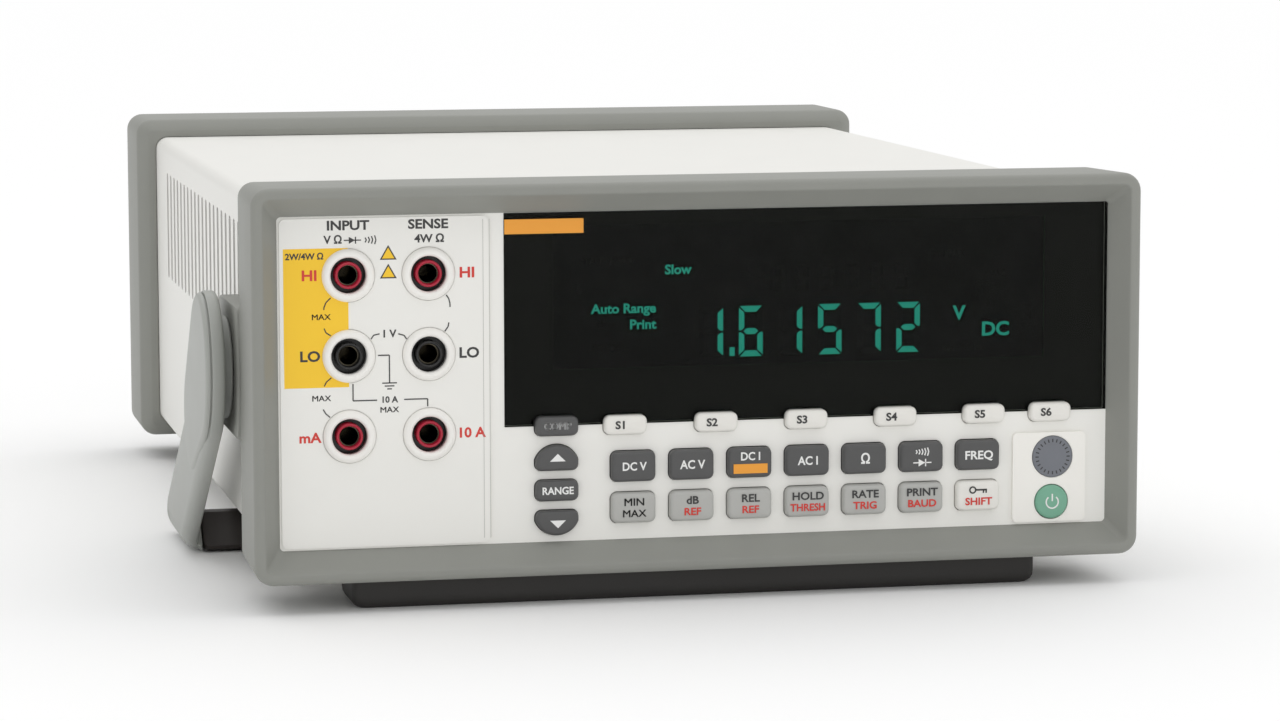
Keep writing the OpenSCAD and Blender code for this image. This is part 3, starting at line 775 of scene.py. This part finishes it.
def diode(shape, x, z, size, y, ink):
    half = 0.95 * size
    tip, bar = x + 0.7 * size, x + 0.85 * size
    stroke(shape, [(x - 2.4 * size, z), (x + 2.4 * size, z)], y, 0.3 * size, ink, KEY_PRINT)
    patch_of(shape, [(x - size, z - half), (tip, z), (x - size, z + half)], y, ink, 0.06)
    stroke(shape, [(bar, z - half), (bar, z + half)], y, 0.32 * size, ink, KEY_PRINT)


def lock_symbol(shape, centre):
    """Small key symbol: a ring, a shaft and two teeth."""
    x, z = centre[0], centre[1] + 1.5
    ring = [(x - 1.5 + 0.75 * u, z + 0.75 * v) for u, v in circle(1, 16)]
    stroke(shape, ring + ring[:1], PRINT_Y, 0.35, DARK, KEY_PRINT)
    stroke(shape, [(x - 0.75, z), (x + 2.1, z)], PRINT_Y, 0.4, DARK, KEY_PRINT)
    for tooth in (1.2, 1.9):
        stroke(shape, [(x + tooth, z), (x + tooth, z - 0.8)], PRINT_Y, 0.35, DARK, KEY_PRINT)


SIDE_KEYS = {
    "key_compare": (words("COMP", 1.8, WHITE, stretch=0.95), 0),
    "key_up": (arrow(1), 1),
    "key_range": (words("RANGE", 1.8, WHITE, stretch=0.95), 0),
    "key_down": (arrow(-1), -1)}
DARK_KEYS = {
    "key_dc_volts": words("DC V", 2.0, WHITE),
    "key_ac_volts": words("AC V", 2.1, WHITE),
    "key_dc_current": both(words("DC I", 2.0, WHITE, dz=1.55), amber_bar),
    "key_ac_current": words("AC I", 2.1, WHITE),
    "key_ohms": words("Ω", 2.5, WHITE),
    "key_continuity": continuity,
    "key_frequency": words("FREQ", 2.1, WHITE, stretch=1.05)}
LIGHT_KEYS = {
    "key_min_max": ("MIN", "MAX", DARK), "key_decibel": ("dB", "REF", RED_INK),
    "key_relative": ("REL", "REF", RED_INK), "key_hold": ("HOLD", "THRESH", RED_INK),
    "key_rate": ("RATE", "TRIG", RED_INK), "key_print": ("PRINT", "BAUD", RED_INK)}


def lower_word(text, ink):
    return words(text, 1.8, ink, dz=-1.4, stretch=1.1 if len(text) < 6 else 0.98)


def make_keys():
    for node, (marks, arch) in SIDE_KEYS.items():
        key_piece(node, KEY_DARK, "key_dark", marks, arch)
    for i in range(1, 7):
        key_piece(f"soft_key_{i}", KEY_PALE, "key_pale",
                  words(f"S{i}", 1.9, DARK, dx=-1.3, stretch=1.1, weight=0.03))
    for node, marks in DARK_KEYS.items():
        key_piece(node, KEY_DARK, "key_dark", marks)
    for node, (upper, lower, ink) in LIGHT_KEYS.items():
        marks = both(words(upper, 1.9, DARK, dz=1.35, stretch=1.1), lower_word(lower, ink))
        key_piece(node, KEY_LIGHT, "key_light", marks)
    key_piece("key_shift", KEY_PALE, "key_pale", both(lock_symbol, lower_word("SHIFT", RED_INK)))


def make_power_key():
    low, high = node_box("power_key")
    centre = face_middle(low, high)
    radius = (high.x - low.x) / 2 - 0.8
    front = low.y
    edge = 0.6
    shape = Shape("power_key_skin", KEY_GREEN, INK_WHITE)
    profile = [(circle(radius + 0.75), high.y), (circle(radius + 0.75), high.y - 0.9),
               (circle(radius), high.y - 0.95), (circle(radius), front + 0.95)]
    for angle in (30, 60, 90):
        u = edge * (1 - math.cos(math.radians(angle)))
        profile.append((circle(radius - u), front + 0.35 + edge * (1 - math.sin(math.radians(angle)))))
    for factor in (0.7, 0.45, 0.2):
        profile.append((circle((radius - edge) * factor), front + 0.02 + 0.33 * factor ** 2))
    shape.facing(profile, centre=centre)
    y = front + 0.12
    arc = [polar(1.55, 90 - angle, centre) for angle in range(40, 321, 20)]
    stroke(shape, arc, y, 0.34, WHITE, 0.12)
    stroke(shape, [(centre[0], centre[1] + 0.2), (centre[0], centre[1] + 2.0)], y, 0.34, WHITE, 0.12)
    shape.finish("power_key_cap", "key_green", ["power_key"])


def make_seal():
    """Plug with a ring of plain ticks round its sunk middle."""
    low, high = node_box("seal_plug")
    centre = face_middle(low, high)
    radius = (high.x - low.x) / 2
    front = low.y + 0.02
    shape = Shape("seal_plug_skin", SEAL, INK_DARK)
    profile = [(circle(radius), high.y), (circle(radius), low.y + 0.3), (circle(radius - 0.1), low.y + 0.1),
               (circle(radius - 0.35), front), (circle(radius * 0.62), front),
               (circle(radius * 0.58), low.y + 0.12), (circle(radius * 0.2), low.y + 0.12)]
    shape.facing(profile, centre=centre)
    for u, v in circle(radius, steps=24):
        tick = [(centre[0] + share * u, centre[1] + share * v) for share in (0.70, 0.86)]
        stroke(shape, tick, front, 0.3, 1, 0.02)
    shape.finish("case", "seal_grey", ["seal_plug"])


# -------------------- terminals

JACKS = {mount["name"]: from_row(mount["pos_m"]) for mount in frame["record"]["mounts"]
         if mount["kind"] == "bore"}
BLACK_JACKS = ("input_lo_socket", "sense_lo_socket")
BORE_R = 2.0
BORE_END = 22


def ring_of(shape, centre, section, number=0):
    """Turned ring about an axis along Y, from a closed section."""
    shape.facing([(circle(radius), PANEL_Y + back) for radius, back in section], centre=centre, closed=True,
                 number=number)


# Sections of a jack's turned parts: radius, and distance back from the panel's front.
COLLAR_SECTION = ((6.28, -0.02), (6.28, -0.75), (6.1, -1.2), (5.7, -1.6), (5.2, -1.82), (4.8, -1.8),
                  (4.45, -1.55), (4.25, -1.15), (4.22, -0.02))
INSULATOR_SECTION = ((3.18, 20), (3.18, -0.75), (3.08, -1.05), (2.9, -1.17), (2.7, -1.12), (2.52, -0.85),
                     (2.42, -0.4), (2.41, 0.45), (2.62, 0.55), (2.62, 20))
BACK_FLANGE_SECTION = ((4.38, 2.25), (3.2, 2.25), (3.2, 4.9), (5.1, 4.9), (5.1, 3.05), (4.38, 3.02))
CONTACT_SECTION = ((2.58, 26), (2.58, 0.9), (2.45, 0.65), (2.2, 0.65), (2.02, 0.95), (BORE_R, BORE_END))


def make_jacks():
    collars = Shape("jack_collars_skin", COLLAR)
    # The red jacks' second material is black: painted shade on the back flanges seen in the gap round each
    # insulator.
    reds = Shape("jack_insulators_red_skin", RED, BLACK)
    blacks = Shape("jack_insulators_black_skin", BLACK, BLACK)
    contacts = Shape("jack_contacts_skin", CONTACT)
    for name, place in JACKS.items():
        centre = (place.x, place.z)
        insulators = blacks if name in BLACK_JACKS else reds
        ring_of(collars, centre, COLLAR_SECTION)
        ring_of(insulators, centre, INSULATOR_SECTION)
        # The back flange shows through the gap round the insulator. It takes the black insulator colour on every
        # jack: on the black jacks that is their own colour, on the red jacks it is painted shade in that gap.
        ring_of(insulators, centre, BACK_FLANGE_SECTION, number=1)
        # The contacts' darkened metal is painted shade inside the bores.
        ring_of(contacts, centre, CONTACT_SECTION)
        end = PANEL_Y + BORE_END
        contacts.facing([(circle(BORE_R), end), (circle(BORE_R), end + 0.4)], centre=centre)
    collars.finish("case", "collar_white", ["jack_collars"], sharp=50)
    reds.finish("case", "insulator_red", ["jack_insulators_red"], sharp=50)
    blacks.finish("case", "insulator_black", ["jack_insulators_black"], sharp=50)
    contacts.finish("case", "contact_metal", ["jack_contacts"], sharp=50)


RING_R = 6.1
FILM_THICKNESS = 0.03
LINE_WIDTH = 0.28
BOLD = 0.028
YELLOW_INK, FILM_DARK, FILM_RED, FILM_SEAM = 0, 1, 2, 3


def yellow_block(shape, left, y):
    """Yellow area left of the INPUT jacks, cut back round the two upper ones."""
    high, low = JACKS["input_hi_socket"], JACKS["input_lo_socket"]
    block = [(left, 46), (high.x, 46)]
    for jack in (low, high):
        block += [polar(RING_R, angle, (jack.x, jack.z)) for angle in range(270, 89, -10)]
    block += [(high.x, 78.8), (left, 78.8)]
    patch_of(shape, block, y, YELLOW_INK, FILM_THICKNESS)


def triangle(shape, x, z, size, y):
    """Plain yellow triangle with a dark border."""
    for radius, front, ink in ((size, y, FILM_DARK), (size - 0.55, y - 0.02, YELLOW_INK)):
        patch_of(shape, [polar(1.1 * radius, angle, (x, z)) for angle in (90, 210, 330)], front, ink, 0.02)


def terminal_words(shape, left, y, upper):
    """Words, each with x, face, z, height, ink and stretch; upper is the face of print on the yellow."""
    high, low, amp = JACKS["input_hi_socket"], JACKS["input_lo_socket"], JACKS["current_ma_socket"]
    sense = JACKS["sense_hi_socket"]
    middle = (high.x + sense.x) / 2
    dark, red = FILM_DARK, FILM_RED
    for text, x, face, z, height, ink, stretch in (
            ("INPUT", high.x, y, 84.0, 2.25, dark, 1.15),
            ("SENSE", sense.x, y, 84.0, 2.25, dark, 1.15),
            ("V Ω", high.x - 3.5, y, 80.7, 1.9, dark, 1.0),
            ("4W Ω", sense.x + 0.3, y, 80.6, 1.9, dark, 1.05),
            ("2W/4W Ω", left + 5.0, upper, 76.9, 1.5, dark, 1.0),
            ("HI", high.x - 9.2, upper, high.z, 2.5, red, 1.15),
            ("LO", low.x - 9.2, upper, low.z, 2.5, dark, 1.1),
            ("mA", amp.x - 9.4, y, amp.z - 0.2, 2.4, red, 1.1),
            ("HI", sense.x + 9.2, y, sense.z, 2.5, red, 1.15),
            ("LO", sense.x + 9.6, y, low.z, 2.5, dark, 1.1),
            ("10 A", sense.x + 10.0, y, amp.z, 2.4, red, 1.05),
            ("MAX", high.x - 6.5, upper, 62.6, 1.4, dark, 1.1),
            ("MAX", high.x - 6.6, y, 43.4, 1.4, dark, 1.1),
            ("10 A", middle, y, low.z - 10.6, 1.5, dark, 1.0),
            ("MAX", middle, y, low.z - 13.0, 1.4, dark, 1.1),
            ("1 V", middle, y, low.z + 5.0, 1.8, dark, 1.0)):
        lettering(shape, text, x, face, z, height, ink, stretch, BOLD)
    for z in (77.0, 72.6):
        triangle(shape, middle, z, 2.1, y)


def terminal_lines(shape, y, upper):
    """Lines between the jacks, each from a jack and as steps from its middle."""
    high, low, amp = JACKS["input_hi_socket"], JACKS["input_lo_socket"], JACKS["current_ma_socket"]
    sense, sense_low = JACKS["sense_hi_socket"], JACKS["sense_lo_socket"]
    for jack, path in ((high, [(-4.2, -5.2), (-5.3, -6.3), (-5.8, -7.5), (-5.8, -8.0)]),
                       (low, [(-5.8, 6.7), (-5.4, 5.7), (-4.2, 4.9)]),
                       (low, [(-4.2, -5.0), (-5.4, -6.0), (-5.9, -7.0)]),
                       (amp, [(-6.2, 6.6), (-5.6, 5.6), (-4.6, 4.7)]),
                       (sense, [(4.2, -5.1), (4.8, -6.0), (5.1, -7.2), (5.1, -8.0)]),
                       (sense_low, [(4.8, 7.4), (4.6, 6.4), (3.8, 5.3)]),
                       (low, [(5.3, 3.9), (5.9, 4.8), (7.3, 5.1)]),
                       (sense_low, [(-5.3, 3.7), (-5.9, 4.6), (-7.3, 5.0)]),
                       (low, [(6.9, 0.0), (9.6, 0.0), (9.6, -6.6)]),
                       (low, [(0.9, -6.6), (0.9, -10.6), (6.6, -10.6)]),
                       (sense_low, [(-6.0, -10.6), (-0.4, -10.6), (-0.4, -12.4)])):
        stroke(shape, [(jack.x + dx, jack.z + dz) for dx, dz in path], upper, LINE_WIDTH, FILM_DARK)
    for i, half in enumerate((1.75, 1.15, 0.55)):
        z = low.z - 6.6 - 0.7 * i
        stroke(shape, [(low.x + 9.6 - half, z), (low.x + 9.6 + half, z)], y, LINE_WIDTH, FILM_DARK)
    diode(shape, high.x + 1.1, 80.6, 0.85, y, FILM_DARK)
    for i in range(4):
        half = 0.55 + 0.16 * i
        bow = high.x + 4.1 + i * 0.75
        stroke(shape, [(bow, 80.6 - half), (bow + 0.3, 80.6), (bow, 80.6 + half)], y, LINE_WIDTH, FILM_DARK)


def make_terminal_print():
    low, high = node_box("terminal_overlay")
    y = low.y - 0.005
    left = low.x + 0.9
    shape = Shape("terminal_print", INK_YELLOW, INK_DARK, INK_RED, SEAM)
    yellow_block(shape, left, y)
    terminal_words(shape, left, y, y - FILM_THICKNESS)
    terminal_lines(shape, y, y - FILM_THICKNESS)
    for x in (high.x - 1.4, high.x + 0.12):
        stroke(shape, [(x, 9.0), (x, 85.0)], y, 0.12, FILM_SEAM)
    shape.finish("case", "overlay_film", sharp=30)


# -------------------- display

window_low, window_high = node_box("display_window")
tube_low, tube_high = node_box("display_tube")
TUBE_RIGHT = 86.4
GLASS_Y = 8.6
LIT, UNLIT = 0, 1
READING = "161572"
DIGIT_PITCH = 9.82
DIGIT_SIZE = (5.9, 12.2)
DIGITS_RIGHT = 55.1
DIGITS_BASE = 50.3
SMALL_PITCH = 6.15
SMALL_SIZE = (3.6, 6.6)
SEGMENTS = {"1": "bc", "2": "abged", "5": "afgcd", "6": "afgecd", "7": "abc"}


def make_window_mask():
    """Black print behind the window, open over the tube and round the keys."""
    back = window_high.y
    shape = Shape("window_mask", MASK)
    x0, x1 = window_low.x + 0.1, window_high.x - 0.1
    z0, z1 = window_low.z + 0.1, window_high.z - 0.1
    edge = [(x0, z0), (x1, z0), (x1, z1), (x0, z1)]
    hole = [(tube_low.x, tube_low.z), (TUBE_RIGHT, tube_low.z), (TUBE_RIGHT, tube_high.z),
            (tube_low.x, tube_high.z)]
    shape.facing([(edge, back + 0.005), (hole, back + 0.005), (hole, back + 0.04), (edge, back + 0.04)],
                 closed=True)
    holes = Shape("holes")
    for node in ["key_compare"] + [f"soft_key_{i}" for i in range(1, 7)]:
        low, high = node_box(node)
        outline = rounded_rect(high.x - low.x - 0.9, high.z - low.z - 0.8, 1.8)
        holes.facing([(outline, back - 1), (outline, back + 1)], centre=face_middle(low, high))
    cut(shape.finish("case", "window_acrylic"), holes)


def digit(shape, x, z, size, lit, y):
    """Seven-segment figure: x and z are its lower left corner, and lit names its lit segments."""
    width, height = size
    t = width * 0.27
    gap = t * 0.16
    mid = z + height / 2
    top = z + height
    right = x + width
    outlines = {
        "a": [(x + gap, top), (right - gap, top), (right - t, top - t * 0.9), (x + t, top - t * 0.9)],
        "d": [(x + t, z + t * 0.9), (right - t, z + t * 0.9), (right - gap, z), (x + gap, z)],
        "g": [(x + t * 0.7, mid), (x + t * 1.2, mid + t * 0.45), (right - t * 1.2, mid + t * 0.45),
              (right - t * 0.7, mid), (right - t * 1.2, mid - t * 0.45), (x + t * 1.2, mid - t * 0.45)],
        "f": [(x, top - gap * 1.6), (x + t - gap, top - t), (x + t - gap, mid + t * 0.55),
              (x + t * 0.35, mid + gap), (x, mid + gap)],
        "b": [(right, top - gap * 1.6), (right - t + gap, top - t), (right - t + gap, mid + t * 0.55),
              (right - t * 0.35, mid + gap), (right, mid + gap)],
        "e": [(x, z + gap * 1.6), (x + t - gap, z + t), (x + t - gap, mid - t * 0.55),
              (x + t * 0.35, mid - gap), (x, mid - gap)],
        "c": [(right, z + gap * 1.6), (right - t + gap, z + t), (right - t + gap, mid - t * 0.55),
              (right - t * 0.35, mid - gap), (right, mid - gap)]}
    for name, outline in outlines.items():
        patch_of(shape, outline, y, LIT if name in lit else UNLIT, FILM_THICKNESS)


def star(shape, x, z, size, y):
    for angle in (0, 60, 120):
        arm = [polar(size, angle + 180, (x, z)), polar(size, angle, (x, z))]
        stroke(shape, arm, y, 0.3, UNLIT, FILM_THICKNESS)


def make_display():
    y = GLASS_Y - 0.01
    shape = Shape("display_segments", SEGMENT_ON, SEGMENT_OFF)
    first = DIGITS_RIGHT - DIGIT_SIZE[0] - 5 * DIGIT_PITCH
    for i, figure in enumerate(READING):
        digit(shape, first + i * DIGIT_PITCH, DIGITS_BASE, DIGIT_SIZE, SEGMENTS[figure], y)
    x, z = first + DIGIT_PITCH - 2.3, DIGITS_BASE + 0.2
    patch_of(shape, [(x, z), (x + 1.25, z), (x + 1.25, z + 2.1), (x, z + 2.1)], y, LIT, FILM_THICKNESS)
    for i in range(6):
        digit(shape, 17.6 + i * SMALL_PITCH, 65.6, SMALL_SIZE, "", y)
    for text, x, z, height, stretch, align in (
            ("Slow", -5.1, 71.6, 2.3, 1.05, "CENTER"), ("Auto Range", -10.5, 62.5, 2.3, 1.05, "RIGHT"),
            ("Print", -10.5, 58.6, 2.3, 1.05, "RIGHT"), ("V", 65.0, 59.4, 3.4, 1.0, "CENTER"),
            ("DC", 74.2, 55.3, 3.4, 1.05, "CENTER")):
        lettering(shape, text, x, y, z, height, LIT, stretch, 0.03, align=align)
    star(shape, -24.0, 59.1, 1.1, y)
    for text, x, z in (("TALK  HOLD", -22, 74), ("MIN MAX", 62, 74), ("mVAC", 74, 69),
                       ("mA  MΩ Hz", 66, 51.2), ("REMOTE", -22, 53)):
        lettering(shape, text, x, y, z, 1.9, UNLIT, 0.8)
    shape.finish("case", "display_glass", sharp=30)


def make_window_print():
    """A plain amber bar stands where a name plate would be."""
    shape = Shape("window_print", INK_AMBER)
    patch_of(shape, [(-47.8, 81.2), (-28.7, 81.2), (-28.7, 84.7), (-47.8, 84.7)], window_low.y - 0.002, 0,
             FILM_THICKNESS)
    shape.finish("case", "window_acrylic", sharp=30)


# -------------------- feet

# How far a foot draws in, and where: up from its lowest point, or for the flange down from its top.
BAR_STEPS = ((2.6, 0), (1.6, 0.12), (0.7, 0.7), (0.15, 1.7), (0, 3))
FOOT_STEPS = ((2.6, 0), (1.6, 0.1), (1.1, 0.7))
FOOT_FLANGE_STEPS = ((1.0, 2.2), (0.3, 1.9), (0, 1.5), (0, 0))


def make_front_foot():
    low, high = node_box("front_foot")
    width, depth = high.x - low.x, high.y - low.y
    middle = ((low.x + high.x) / 2, (low.y + high.y) / 2)
    shape = Shape("front_foot_skin", RUBBER)
    profile = [(rounded_rect(width - 2 * u, depth - 1.2 * u, 2.2), low.z + rise) for u, rise in BAR_STEPS]
    profile.append((rounded_rect(width, depth, 2.2), high.z))
    shape.upward(profile, centre=middle)
    shape.finish("case", "foot_rubber", ["front_foot"])


def make_rear_feet():
    """Two round feet with a shallow dish underneath."""
    low, high = node_box("rear_feet")
    shape = Shape("rear_feet_skin", RUBBER)
    radius = (high.y - low.y) / 2
    profile = [(circle(5), low.z + 0.8), (circle(5.3), low.z)]
    profile += [(circle(radius - u), low.z + rise) for u, rise in FOOT_STEPS]
    profile += [(circle(radius - u), high.z - drop) for u, drop in FOOT_FLANGE_STEPS]
    for side in (1, -1):
        centre = (side * (high.x - radius), (high.y + low.y) / 2)
        shape.upward(profile, centre=centre)
    shape.finish("case", "foot_rubber", ["rear_feet"])


# -------------------- CAD nodes that keep their shape

CAD_FINISHES = {
    "front_panel": PANEL, "terminal_overlay": FILM, "display_window": WINDOW, "display_tube": TUBE,
    "front_board": BOARD, "keypad_membrane": MEMBRANE, "power_surround": SURROUND,
    "handle_pivot_pins": STEEL, "rear_panel": REAR, "mains_inlet": NYLON, "rear_power_switch": NYLON,
    "switch_housing": NYLON, "fuse_drawer": NYLON, "serial_port": TIN, "ground_terminal": CONTACT,
    "chassis_tray": TIN, "main_board": BOARD, "mains_transformer": WINDING, "input_shield": TIN,
    "current_fuses": CERAMIC, "fuse_cover": CASE, "case_screws": STEEL}


def finish_cad_nodes():
    for name, material in CAD_FINISHES.items():
        data = frame["nodes"][name].data
        data.materials.clear()
        data.materials.append(material)


# -------------------- room, in metres

FLOOR_REACH = 6.0
SKY_STRENGTH = 0.64
TOP_LIGHT = 1.25
FRONT_LIGHT = 2.4
LENS = 116.9
SENSOR = 36
# The photograph's viewing angle: the camera's place in millimetres, and two of its directions.
CAMERA_PLACE = (-227.6, -955.3, 168.3)
CAMERA_RIGHT = (0.97637, -0.21610, -0.00132)
CAMERA_AHEAD = (0.21441, 0.96947, -0.11898)


def make_floor():
    mesh = bpy.data.meshes.new("floor")
    corners = [(x * FLOOR_REACH, y * FLOOR_REACH, 0) for x, y in ((-1, -1), (1, -1), (1, 1), (-1, 1))]
    mesh.from_pydata(corners, [], [(0, 1, 2, 3)])
    mesh.materials.append(surface("floor_pale", (0.97, 0.97, 0.97), specular=0.0, rough=0.9, grain=4,
                                  depth=0.001, mottle=0.0))
    place_in_scene("floor", mesh)


def make_lights():
    world = bpy.data.worlds.new("studio")
    bpy.context.scene.world = world
    world.use_nodes = True
    world.node_tree.nodes["Background"].inputs["Color"].default_value = (1, 1, 1, 1)
    world.node_tree.nodes["Background"].inputs["Strength"].default_value = SKY_STRENGTH
    top = bpy.data.lights.new("softbox_top", "SUN")
    top.energy = TOP_LIGHT
    top.angle = math.radians(100)
    place_in_scene("softbox_top", top).rotation_euler = (math.radians(-12), math.radians(8), 0)
    front = bpy.data.lights.new("softbox_front", "AREA")
    front.shape = "SQUARE"
    front.size = 1.2
    front.energy = FRONT_LIGHT
    lamp = place_in_scene("softbox_front", front)
    lamp.location = (0.2, -1.9, 1.0)
    lamp.rotation_euler = (Vector((0, 0, 0.05)) - lamp.location).to_track_quat("-Z", "Y").to_euler()


def make_camera():
    data = bpy.data.cameras.new("camera")
    data.sensor_width = SENSOR
    data.lens = LENS
    data.clip_start = 0.05
    camera = place_in_scene("camera", data)
    right, ahead = Vector(CAMERA_RIGHT), Vector(CAMERA_AHEAD)
    turn = Matrix((right, right.cross(ahead), -ahead)).transposed().to_4x4()
    camera.matrix_world = Matrix.Translation(spot(*CAMERA_PLACE)) @ turn
    bpy.context.scene.camera = camera
    bpy.context.scene.view_settings.view_transform = "Standard"


make_front_bezel()
make_rear_bezel()
make_sleeve()
make_handle()
make_keys()
make_power_key()
make_seal()
make_jacks()
make_terminal_print()
make_window_mask()
make_display()
make_window_print()
make_front_foot()
make_rear_feet()
finish_cad_nodes()
make_floor()
make_lights()
make_camera()
